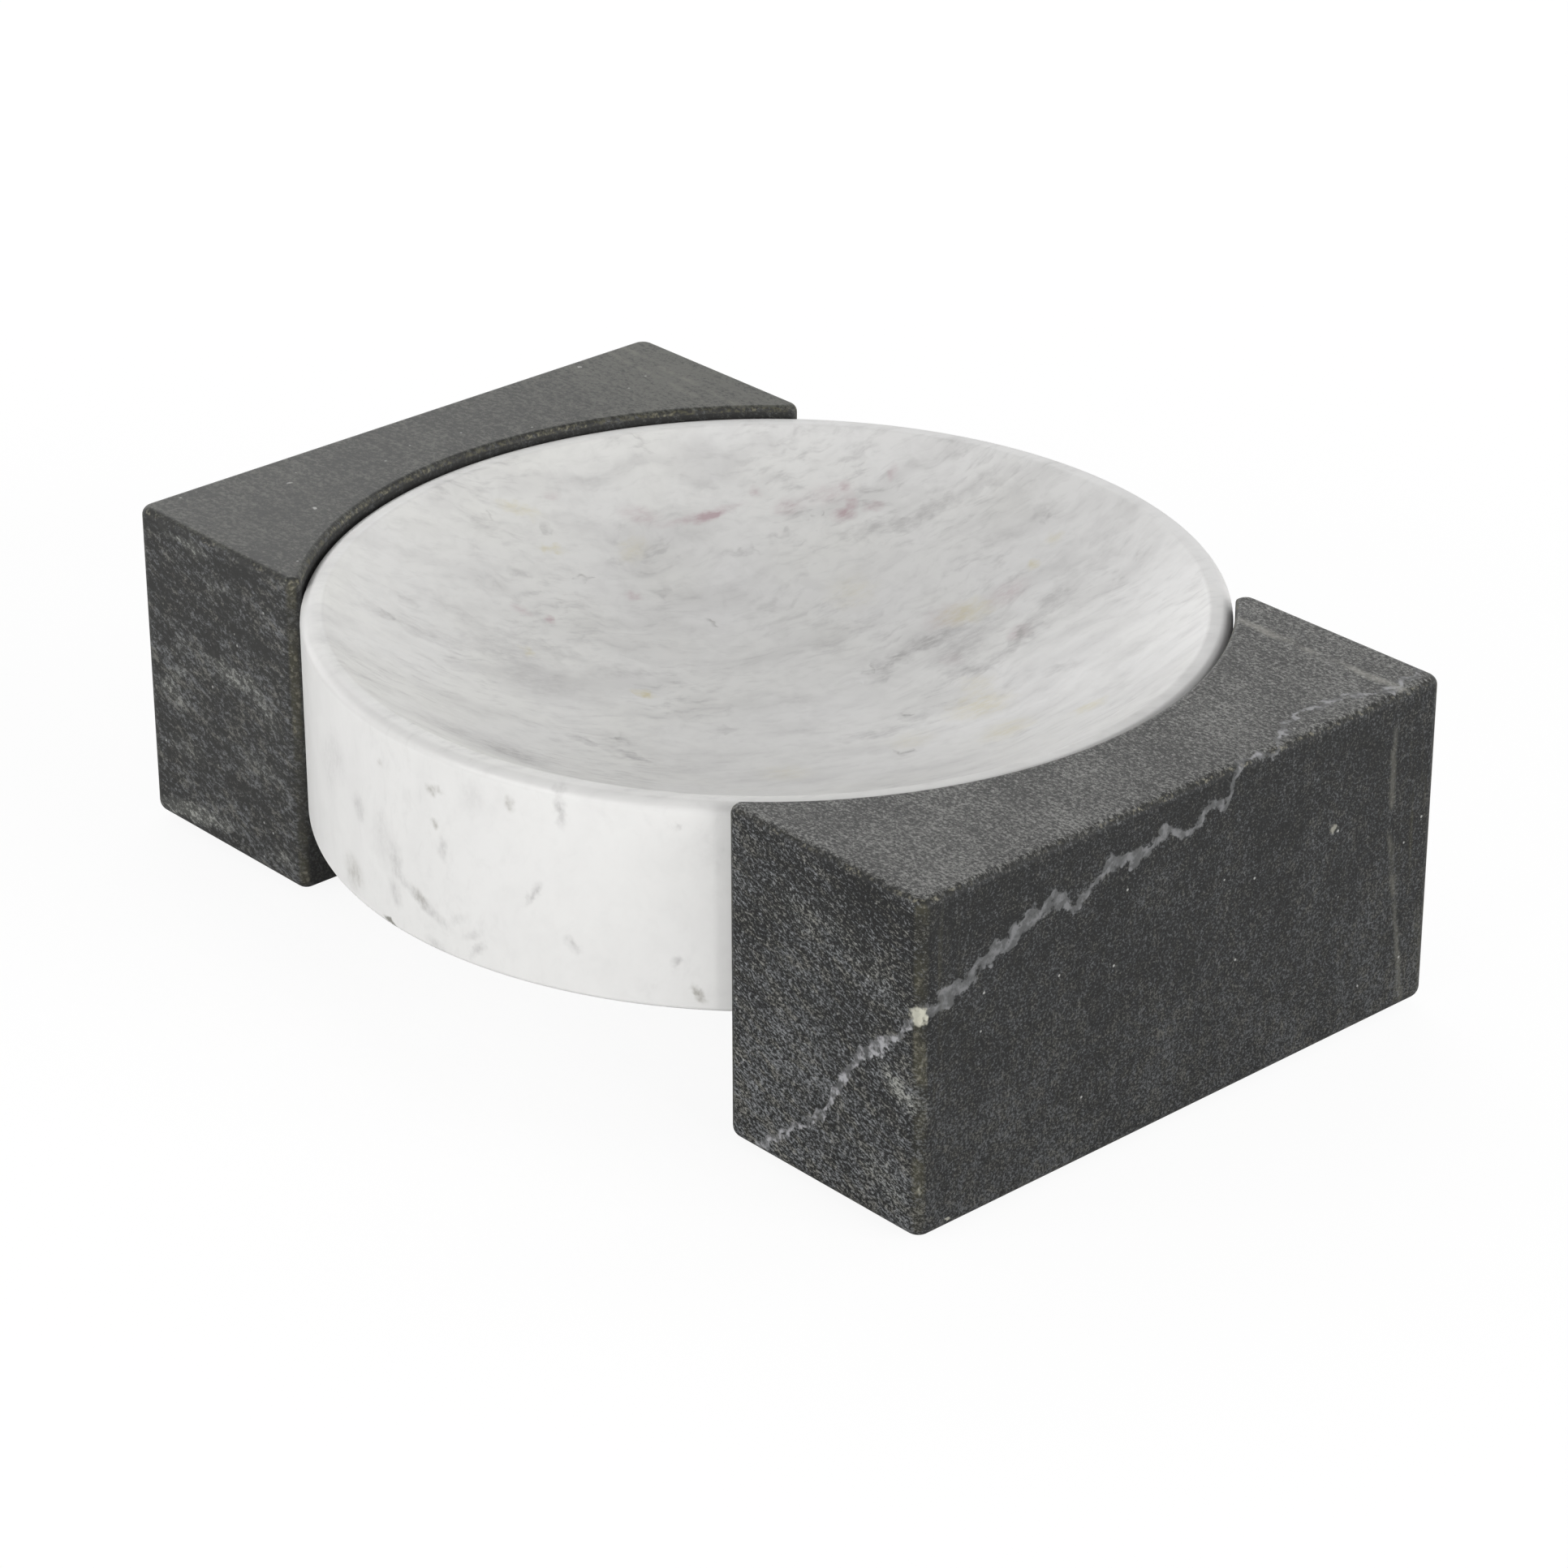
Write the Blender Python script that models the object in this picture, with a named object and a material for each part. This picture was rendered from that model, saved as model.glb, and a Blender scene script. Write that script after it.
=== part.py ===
"""Marble tray: a turned white dish held between two black blocks.

Each block is a plain bar with a stepped seat cut into its inner side. The dish rests on
the two ledges, in thin beds of stone resin, and stands just clear of the curved walls.
X runs from the left block to the right one, Y along the blocks, front to back, and Z up.
The origin is on the surface that the feet stand on, below the middle of the dish.
"""
import bmesh
import bpy
from math import cos, pi, sin, sqrt
from mathutils import Matrix, Vector

MM = 0.001

# Dish
DISH_RADIUS = 100 * MM
DISH_THICKNESS = 46.8 * MM
RIM_WIDTH = 5 * MM
RIM_OUTER_ROUND = 1.2 * MM
RIM_INNER_ROUND = 1.4 * MM
BOWL_DEPTH = 32 * MM
DISH_BOTTOM_ROUND = 1.2 * MM

# Blocks
BLOCK_LENGTH = 149 * MM
BLOCK_HEIGHT = 75.7 * MM
STONE_BEHIND_SEAT = 26.6 * MM
LEDGE_REACH = 29.8 * MM
OUTER_CORNER_ROUND = 3.5 * MM
TIP_CORNER_ROUND = 3 * MM
EDGE_ROUND = 2 * MM
SEAT_EDGE_ROUND = 1.5 * MM
RIM_BELOW_BLOCK_TOP = 1.9 * MM

# Fits between the pieces
SEAT_CLEARANCE = 0.4 * MM
SEATING_GAP = 0.3 * MM
BED_THICKNESS = 0.4 * MM
BED_LEDGE_MARGIN = 3 * MM
BED_SIDE_MARGIN = 2.5 * MM

# Feet
FOOT_RADIUS = 6 * MM
FOOT_THICKNESS = 1.2 * MM
FOOT_EDGE_ROUND = 0.4 * MM
FOOT_INSET = 13 * MM

# Facets and tools
TURN_STEPS = 96
FOOT_STEPS = 32
BOWL_STEPS = 9
ROUND_STEPS = 4
CORNER_STEPS = 5
EDGE_STEPS = 3
CUT_OVERRUN = 4 * MM
WELD_DISTANCE = 0.005 * MM
SMOOTH_ANGLE = pi / 5
EDGE_ROUND_LIMIT_SHARE = 0.8
QUARTER_TURN = pi / 2

# Heights, from the feet up
block_bottom = FOOT_THICKNESS + SEATING_GAP
block_top = block_bottom + BLOCK_HEIGHT
dish_top = block_top - RIM_BELOW_BLOCK_TOP
dish_bottom = dish_top - DISH_THICKNESS
bed_bottom = dish_bottom - SEATING_GAP - BED_THICKNESS
ledge_top = bed_bottom - SEATING_GAP

# Distances from the middle of the dish
seat_radius = DISH_RADIUS + SEAT_CLEARANCE
block_outer = seat_radius + STONE_BEHIND_SEAT
block_inner = seat_radius - LEDGE_REACH

WHITE_MARBLE = (0.78, 0.78, 0.76)
BLACK_MARBLE = (0.055, 0.056, 0.054)
STONE_RESIN = (0.60, 0.58, 0.52)
FOOT_RUBBER = (0.02, 0.02, 0.02)


def clear_scene():
    for item in list(bpy.data.objects):
        bpy.data.objects.remove(item, do_unlink=True)


def finish(name, colour, roughness, coat=0.0):
    material = bpy.data.materials.new(name)
    material.use_nodes = True
    shader = material.node_tree.nodes["Principled BSDF"]
    shader.inputs["Base Color"].default_value = (*colour, 1.0)
    shader.inputs["Roughness"].default_value = roughness
    shader.inputs["Metallic"].default_value = 0.0
    shader.inputs["Coat Weight"].default_value = coat
    material.diffuse_color = (*colour, 1.0)
    return material


def add_object(name, mesh, material, location=(0, 0, 0)):
    item = bpy.data.objects.new(name, mesh)
    item.location = location
    bpy.context.scene.collection.objects.link(item)
    if material:
        mesh.materials.append(material)
    return item


def mesh_from(name, solid):
    """Turn a closed bmesh into a mesh with round stretches shaded smooth."""
    bmesh.ops.recalc_face_normals(solid, faces=solid.faces)
    mesh = bpy.data.meshes.new(name)
    solid.to_mesh(mesh)
    solid.free()
    mesh.shade_smooth()
    mesh.set_sharp_from_angle(angle=SMOOTH_ANGLE)
    return mesh


def arc(centre, radius, start, end, steps):
    """Points of an arc in the profile plane, from one angle to another."""
    angles = [start + (end - start) * step / steps for step in range(steps + 1)]
    return [(centre[0] + radius * cos(a), centre[1] + radius * sin(a)) for a in angles]


def turned_mesh(name, profile, steps):
    """Spin a profile of (radius, height) points, which ends on the axis, into a solid."""
    solid = bmesh.new()
    points = [solid.verts.new((radius, 0, height)) for radius, height in profile]
    lines = [solid.edges.new(pair) for pair in zip(points, points[1:])]
    bmesh.ops.spin(solid, geom=points + lines, cent=(0, 0, 0), axis=(0, 0, 1),
                   angle=2 * pi, steps=steps, use_merge=True)
    bmesh.ops.remove_doubles(solid, verts=solid.verts, dist=WELD_DISTANCE)
    return mesh_from(name, solid)


def dish_profile():
    """The turned section: out along the bowl, over the rim, down the side and back in."""
    rim_inner = DISH_RADIUS - RIM_WIDTH
    bowl_radius = (rim_inner ** 2 + BOWL_DEPTH ** 2) / (2 * BOWL_DEPTH)
    bowl_centre = dish_top - BOWL_DEPTH + bowl_radius

    # The inner round touches the bowl's sphere from outside and the rim from below
    round_height = dish_top - RIM_INNER_ROUND
    reach = bowl_radius + RIM_INNER_ROUND
    round_radius = sqrt(reach ** 2 - (bowl_centre - round_height) ** 2)
    touch = Vector((round_radius, round_height - bowl_centre)).normalized() * bowl_radius
    bowl_angle = Vector((0, -1)).angle(touch)
    inward = QUARTER_TURN + bowl_angle

    down = -QUARTER_TURN
    points = arc((0, bowl_centre), bowl_radius, down, down + bowl_angle, BOWL_STEPS)
    points += arc((round_radius, round_height), RIM_INNER_ROUND, inward, QUARTER_TURN,
                  ROUND_STEPS)[1:]
    points += arc((DISH_RADIUS - RIM_OUTER_ROUND, dish_top - RIM_OUTER_ROUND),
                  RIM_OUTER_ROUND, QUARTER_TURN, 0, ROUND_STEPS)
    points += arc((DISH_RADIUS - DISH_BOTTOM_ROUND, dish_bottom + DISH_BOTTOM_ROUND),
                  DISH_BOTTOM_ROUND, 0, down, ROUND_STEPS)
    points[0] = (0, dish_top - BOWL_DEPTH)
    return points + [(0, dish_bottom)]


def seat_profile():
    """The seat cutter: a flared mouth, the curved wall and the flat ledge."""
    mouth = arc((seat_radius + SEAT_EDGE_ROUND, block_top - SEAT_EDGE_ROUND),
                SEAT_EDGE_ROUND, QUARTER_TURN, 2 * QUARTER_TURN, ROUND_STEPS)

    # The first facet of the mouth runs on upwards, so it leaves the block's top at an angle
    lip = Vector(mouth[0]) - Vector(mouth[1])
    flared = Vector(mouth[0]) + lip.normalized() * CUT_OVERRUN
    return [(0, flared.y), tuple(flared)] + mouth + [(seat_radius, ledge_top), (0, ledge_top)]


def upright(edge):
    return abs(edge.verts[0].co.z - edge.verts[1].co.z) > WELD_DISTANCE


def round_edges(solid, edges, radius, steps):
    bmesh.ops.bevel(solid, geom=edges, offset=radius, offset_type='OFFSET', segments=steps,
                    profile=0.5, affect='EDGES', clamp_overlap=True)


def block_mesh(name, side):
    """A bar with round corners, and softer top and bottom edges; side is 1 or -1."""
    solid = bmesh.new()
    size = (block_outer - block_inner, BLOCK_LENGTH, BLOCK_HEIGHT)
    middle = ((block_outer + block_inner) / 2 * side, 0, (block_top + block_bottom) / 2)
    place = Matrix.Translation(middle) @ Matrix.Diagonal((*size, 1))
    bmesh.ops.create_cube(solid, size=1, matrix=place)

    middle_x = abs(middle[0])
    corners = [edge for edge in solid.edges if upright(edge)]
    outer = [edge for edge in corners if abs(edge.verts[0].co.x) > middle_x]
    round_edges(solid, outer, OUTER_CORNER_ROUND, CORNER_STEPS)
    corners = [edge for edge in solid.edges if upright(edge)]
    tips = [edge for edge in corners if abs(edge.verts[0].co.x) < middle_x]
    round_edges(solid, tips, TIP_CORNER_ROUND, CORNER_STEPS)

    rims = [edge for edge in solid.edges if not upright(edge)]
    smallest_corner = min(OUTER_CORNER_ROUND, TIP_CORNER_ROUND)
    edge_round = min(EDGE_ROUND, EDGE_ROUND_LIMIT_SHARE * smallest_corner)
    round_edges(solid, rims, edge_round, EDGE_STEPS)
    return mesh_from(name, solid)


def seat_cutter():
    cutter = add_object("seat_cutter", turned_mesh("seat_cutter", seat_profile(), TURN_STEPS), None)
    cutter.hide_render = True
    cutter.display_type = 'WIRE'
    return cutter


def add_block(name, side, cutter):
    stone = finish(name + "_stone", BLACK_MARBLE, roughness=0.55)
    block = add_object(name, block_mesh(name, side), stone)
    seat = block.modifiers.new("Seat", 'BOOLEAN')
    seat.operation = 'DIFFERENCE'
    seat.solver = 'EXACT'
    seat.object = cutter
    return block


def add_dish():
    stone = finish("dish_stone", WHITE_MARBLE, roughness=0.42, coat=0.1)
    return add_object("dish", turned_mesh("dish", dish_profile(), TURN_STEPS), stone)


def add_resin_bed(name, side):
    """A thin bed of the ledge's own outline, drawn in from its edge and from the dish's side."""
    chord = block_inner + BED_LEDGE_MARGIN
    radius = DISH_RADIUS - DISH_BOTTOM_ROUND - BED_SIDE_MARGIN
    half_angle = Vector((1, 0)).angle(Vector((chord, sqrt(radius ** 2 - chord ** 2))))
    outline = arc((0, 0), radius, -half_angle, half_angle, TURN_STEPS // 4)

    solid = bmesh.new()
    corners = [solid.verts.new((x * side, y, bed_bottom)) for x, y in outline]
    base = solid.faces.new(corners)
    raised = bmesh.ops.extrude_face_region(solid, geom=[base])["geom"]
    top = [item for item in raised if isinstance(item, bmesh.types.BMVert)]
    bmesh.ops.translate(solid, verts=top, vec=(0, 0, BED_THICKNESS))
    resin = finish(name + "_resin", STONE_RESIN, roughness=0.5)
    return add_object(name, mesh_from(name, solid), resin)


def foot_profile():
    shoulder = FOOT_RADIUS - FOOT_EDGE_ROUND
    side = arc((shoulder, FOOT_EDGE_ROUND), FOOT_EDGE_ROUND, 0, -QUARTER_TURN, ROUND_STEPS)
    return [(0, FOOT_THICKNESS), (FOOT_RADIUS, FOOT_THICKNESS)] + side + [(0, 0)]


def add_feet(block_name, side):
    """Four thin discs under a block, one near each corner."""
    rubber = finish("feet_" + block_name + "_rubber", FOOT_RUBBER, roughness=0.8)
    shape = turned_mesh("foot_" + block_name, foot_profile(), FOOT_STEPS)
    across = {"outer": block_outer - FOOT_INSET, "inner": block_inner + FOOT_INSET}
    reach = BLOCK_LENGTH / 2 - FOOT_INSET
    along = {"front": -reach, "back": reach}
    for row, y in along.items():
        for column, x in across.items():
            mesh = shape.copy()
            add_object(f"foot_{block_name}_{row}_{column}", mesh, rubber, (x * side, y, 0))


def build():
    clear_scene()
    add_dish()
    cutter = seat_cutter()
    for word, side in (("left", -1), ("right", 1)):
        add_block("block_" + word, side, cutter)
        add_resin_bed("resin_bed_" + word, side)
        add_feet(word, side)


build()
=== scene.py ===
"""Looks of the marble tray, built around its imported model.

A turned dish of white marble stands in the curved seats of two black marble blocks.
Lengths are in metres, except in the stones' patterns, which are laid out in millimetres.
"""

from math import atan, cos, pi, radians, sin, tan

import bmesh
import bpy
from mathutils import Matrix, Vector


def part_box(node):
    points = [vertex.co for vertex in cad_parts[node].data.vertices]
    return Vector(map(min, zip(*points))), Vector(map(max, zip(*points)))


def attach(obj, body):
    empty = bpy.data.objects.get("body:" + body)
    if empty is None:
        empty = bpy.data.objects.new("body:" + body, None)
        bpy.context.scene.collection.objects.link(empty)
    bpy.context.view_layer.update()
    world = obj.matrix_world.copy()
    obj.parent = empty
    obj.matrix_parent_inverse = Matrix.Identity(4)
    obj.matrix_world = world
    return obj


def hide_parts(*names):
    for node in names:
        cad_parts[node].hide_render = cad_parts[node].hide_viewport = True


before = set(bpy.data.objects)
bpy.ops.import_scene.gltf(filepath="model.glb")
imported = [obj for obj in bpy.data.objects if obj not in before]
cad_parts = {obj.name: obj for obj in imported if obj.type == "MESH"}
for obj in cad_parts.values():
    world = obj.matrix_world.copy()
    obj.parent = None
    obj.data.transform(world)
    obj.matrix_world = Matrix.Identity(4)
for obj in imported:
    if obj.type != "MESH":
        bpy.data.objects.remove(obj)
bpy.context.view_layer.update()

MM = 0.001
QUARTER_TURN = pi / 2

# Dish, with the outer edge of its rim a little softer than in the solids
RIM_WIDTH = 5 * MM
RIM_OUTER_ROUND = 2.6 * MM
RIM_INNER_ROUND = 1.4 * MM
BOWL_DEPTH = 32 * MM
DISH_BOTTOM_ROUND = 1.2 * MM

# Blocks, with bottom edges a little softer than in the solids
OUTER_CORNER_ROUND = 3.5 * MM
TIP_CORNER_ROUND = 3 * MM
EDGE_ROUND = 2 * MM
BOTTOM_EDGE_ROUND = 2.8 * MM
SEAT_EDGE_ROUND = 1.5 * MM
SEAT_CLEARANCE = 0.4 * MM
LEDGE_BELOW_DISH = 1 * MM

# Sockets of a Mix node for two colours, which stand after those for numbers and vectors
MIX_SHARE = 0
MIX_FIRST = 6
MIX_SECOND = 7
MIX_RESULT = 2

# Facets
DISH_SIDES = 288
BOWL_RINGS = 48
ROUND_STEPS = 8
CORNER_STEPS = 10
SMOOTH_ANGLE = pi / 6
WELD_DISTANCE = 0.003 * MM
CUT_OVERRUN = 4 * MM

# Camera, solved from the edges of the blocks and the rim of the dish
PICTURE_SIDE = 1932
FOCAL_PIXELS = 6345.5
VIEW_AZIMUTH = radians(47.97)
VIEW_ELEVATION = radians(26.77)
VIEW_ROLL = radians(-0.09)
VIEW_DISTANCE = 1123.5 * MM
VIEW_CENTRE = Vector((4.16, 1.19, 31.08)) * MM
CLIP_END = 10

# Softboxes round the tray: name, azimuth and elevation in degrees, watts
SOFTBOX_SIDE = 1.2
SOFTBOX_DISTANCE = 1.6
SOFTBOXES = (
    ("front_left", -10, 8, 15.5),
    ("front", 30, 8, 8),
    ("right", 100, 8, 26),
    ("left_front", -70, 8, 5),
    ("left", -105, 12, 6),
    ("back_left", -130, 35, 4.5),
    ("back_right", 160, 15, 7),
)
ROOM_LIGHT = 0.18
FLOOR_SIDE = 6
FLOOR_PAPER = (0.8, 0.8, 0.8)
FLOOR_GLOW = 1.1
FLOOR_GLOW_SHARE = 0.82

dish_low, dish_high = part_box("dish")
block_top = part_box("block_right")[1].z
dish_radius = dish_high.y
seat_radius = dish_radius + SEAT_CLEARANCE
ledge_top = dish_low.z - LEDGE_BELOW_DISH

# Directions in the stone
AXES = ((1, 0, 0), (0, 1, 0), (0, 0, 1))
UP = Vector((0, 0, 1))
ACROSS_BLOCK = Vector((0, 1, 0))
GRAIN = Vector((0.951, 0, -0.309))
LAYER = Vector((0.41, 0.91, 0))
LAYER_ACROSS = Vector((-0.91, 0.41, 0))

# Lengths of the patterns along a direction, across it and at right angles to both
WISP = (5.5, 1.9, 4.5)
SMUDGE = (28, 9, 22)
MARK_GRAIN = (3.2, 1.3, 2.4)
CLOUDY_BAND = (16, 2, 5)
HUE_PATCH = (6, 2.5, 2.5)
OLIVE_STRIPE = (30, 1.9, 8)

# Where the stone changes: across the rim, at its rounded edge (greyer there, partly smudges and
# partly painted shade), towards the dish's back and up its side; where the painted sheen on the
# blocks' tops grows towards their back; and the middle of their height, below which light is
# painted
RIM_ACROSS = (94.5, 99.5)
RIM_EDGE = (96.5, 97.5)
DISH_BACK = (0, 80)
DISH_SIDE_TOP = (64, 72)
BLOCK_BACK = (5, 75)
BLOCK_MIDDLE_HEIGHT = 38.5

# How deep the placed marks go into the stone, and the level of the bowl's marks
BOWL_MARK_LEVEL = 55
BOWL_MARK_DEPTH = 26
SIDE_MARK_DEPTH = 5
BAND_DEPTH = 5
LEFT_DOT_DEPTH = 0.7
RIGHT_DOT_DEPTH = 1.1

# Colours
WHITE_GROUND = (0.82, 0.815, 0.805)
WHITE_GREY = (0.45, 0.44, 0.435)
WHITE_WARM = (0.805, 0.805, 0.755)
MAUVE = (0.52, 0.41, 0.43)
BEIGE = (0.66, 0.61, 0.42)
DEEP_GREY = (0.33, 0.32, 0.31)
SPOT_BROWN = (0.36, 0.345, 0.31)
FLECK_BLUE = (0.255, 0.263, 0.27)
FLECK_OLIVE = (0.265, 0.26, 0.235)
SPECK = (0.50, 0.50, 0.48)
BAND_PALE = (0.32, 0.325, 0.30)
LINE_PALE = (0.22, 0.215, 0.18)
LINE_PALE_TOP = (0.42, 0.41, 0.37)
VEIN_GREY = (0.106, 0.108, 0.109)
VEIN_PALE = (0.44, 0.44, 0.455)
CRYSTAL = (0.60, 0.59, 0.50)
PAINTED_EDGE_SHADE = (0.012, 0.012, 0.009)
EDGE_OLIVE = (0.085, 0.080, 0.050)
EDGE_CREAM = (0.30, 0.285, 0.225)
RESIN_PALE = (0.60, 0.58, 0.52)
RESIN_DARK = (0.46, 0.44, 0.39)
RUBBER_BLACK = (0.018, 0.018, 0.018)
RUBBER_DUSTY = (0.06, 0.06, 0.057)

# What sets the two blocks' stone apart, and the light and shade painted on them
BLOCK_LOOKS = {
    "left": {
        "fleck_lengths": (1.5, 0.95, 0.8), "fleck_strength": 0.56, "banding": 0.3,
        "ground": (0.030, 0.030, 0.0288), "top_sheen_dark": (0.006, 0.0064, 0.0046),
        "top_sheen_pale": (0.085, 0.086, 0.072), "sheen_paler_to_back": 0.13, "bounce_light_below": 0.0003,
        "mouth_chips": 0.8, "mouth_painted_shade": 0.0, "mouth_olive_and_highlight": 0.75,
    },
    "right": {
        "fleck_lengths": (1.0, 0.6, 0.54), "fleck_strength": 1.02, "banding": 0.14,
        "ground": (0.0105, 0.0108, 0.0108), "top_sheen_dark": (0.013, 0.013, 0.012),
        "top_sheen_pale": (0.30, 0.30, 0.285), "sheen_paler_to_back": 0.0, "bounce_light_below": 0.0007,
        "mouth_chips": 0.15, "mouth_painted_shade": 0.3, "mouth_olive_and_highlight": 0.45,
    },
}

# The crooked vein: the plane it follows, where it leaves that, and its half width
VEIN_LEVEL = -63.1
VEIN_CLIMB_BY_X = 1.066
VEIN_CLIMB_BY_Y = 0.26
VEIN_SHIFT_BY_X = ((79.4, 0.1), (87.5, -1.0), (99.4, -4.4), (103.6, -1.4), (109.2, 1.7),
                   (117.6, 0), (126.2, 0.1))
VEIN_SHIFT_BY_Y = ((-75.3, 0.1), (-66.4, -1.3), (-58.6, 0.8), (-51.9, 1.6), (-46.6, 2.6),
                   (-38.7, 2.6), (-33.6, -1.7), (-28.3, -0.5), (-23.6, 0.8), (-14, -2.1),
                   (-9.1, -0.7), (0.1, -5.2), (4.8, -2.0), (9.8, -5.0), (12.3, 0.2),
                   (13.9, 2.0), (23.9, -1.8), (32, 2.5), (38.8, 3.9), (48.3, 0.3),
                   (52.9, -1.4), (57, -6.3), (62.2, -7.9))
VEIN_WIDTH_BY_X = ((79, 1.04), (87.5, 0.72), (96, 0.72), (99.4, 1.04), (103.6, 1.84),
                   (109, 1.52), (117, 1.44), (126, 1.52))
VEIN_WIDTH_BY_Y = ((-75, 1.0), (-66, 1.25), (-60, 1.15), (-55, 1.2), (-50, 1.0), (-44, 0.9),
                   (-38, 0.95), (-33, 0.7), (-28, 0.9), (-20, 1.0), (-10, 0.7), (12, 0.75),
                   (24, 0.55), (55, 0.6))

# Thin pale lines: across the left block's top (y and strength, falling towards the right),
# and down the right block's top and outer face, bending to the back low down
LEFT_LINES = ((66.4, 0.34), (61.8, 0.24), (50, 0.1), (-40, 0.1))
LEFT_LINES_START = -125
LEFT_LINES_FALL = 0.083
RIGHT_TOP_LINE = 62.9
RIGHT_OUTER_LINE = 60.1
RIGHT_LINE_BEND_BELOW = 45
RIGHT_LINE_BEND = 0.15

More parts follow.
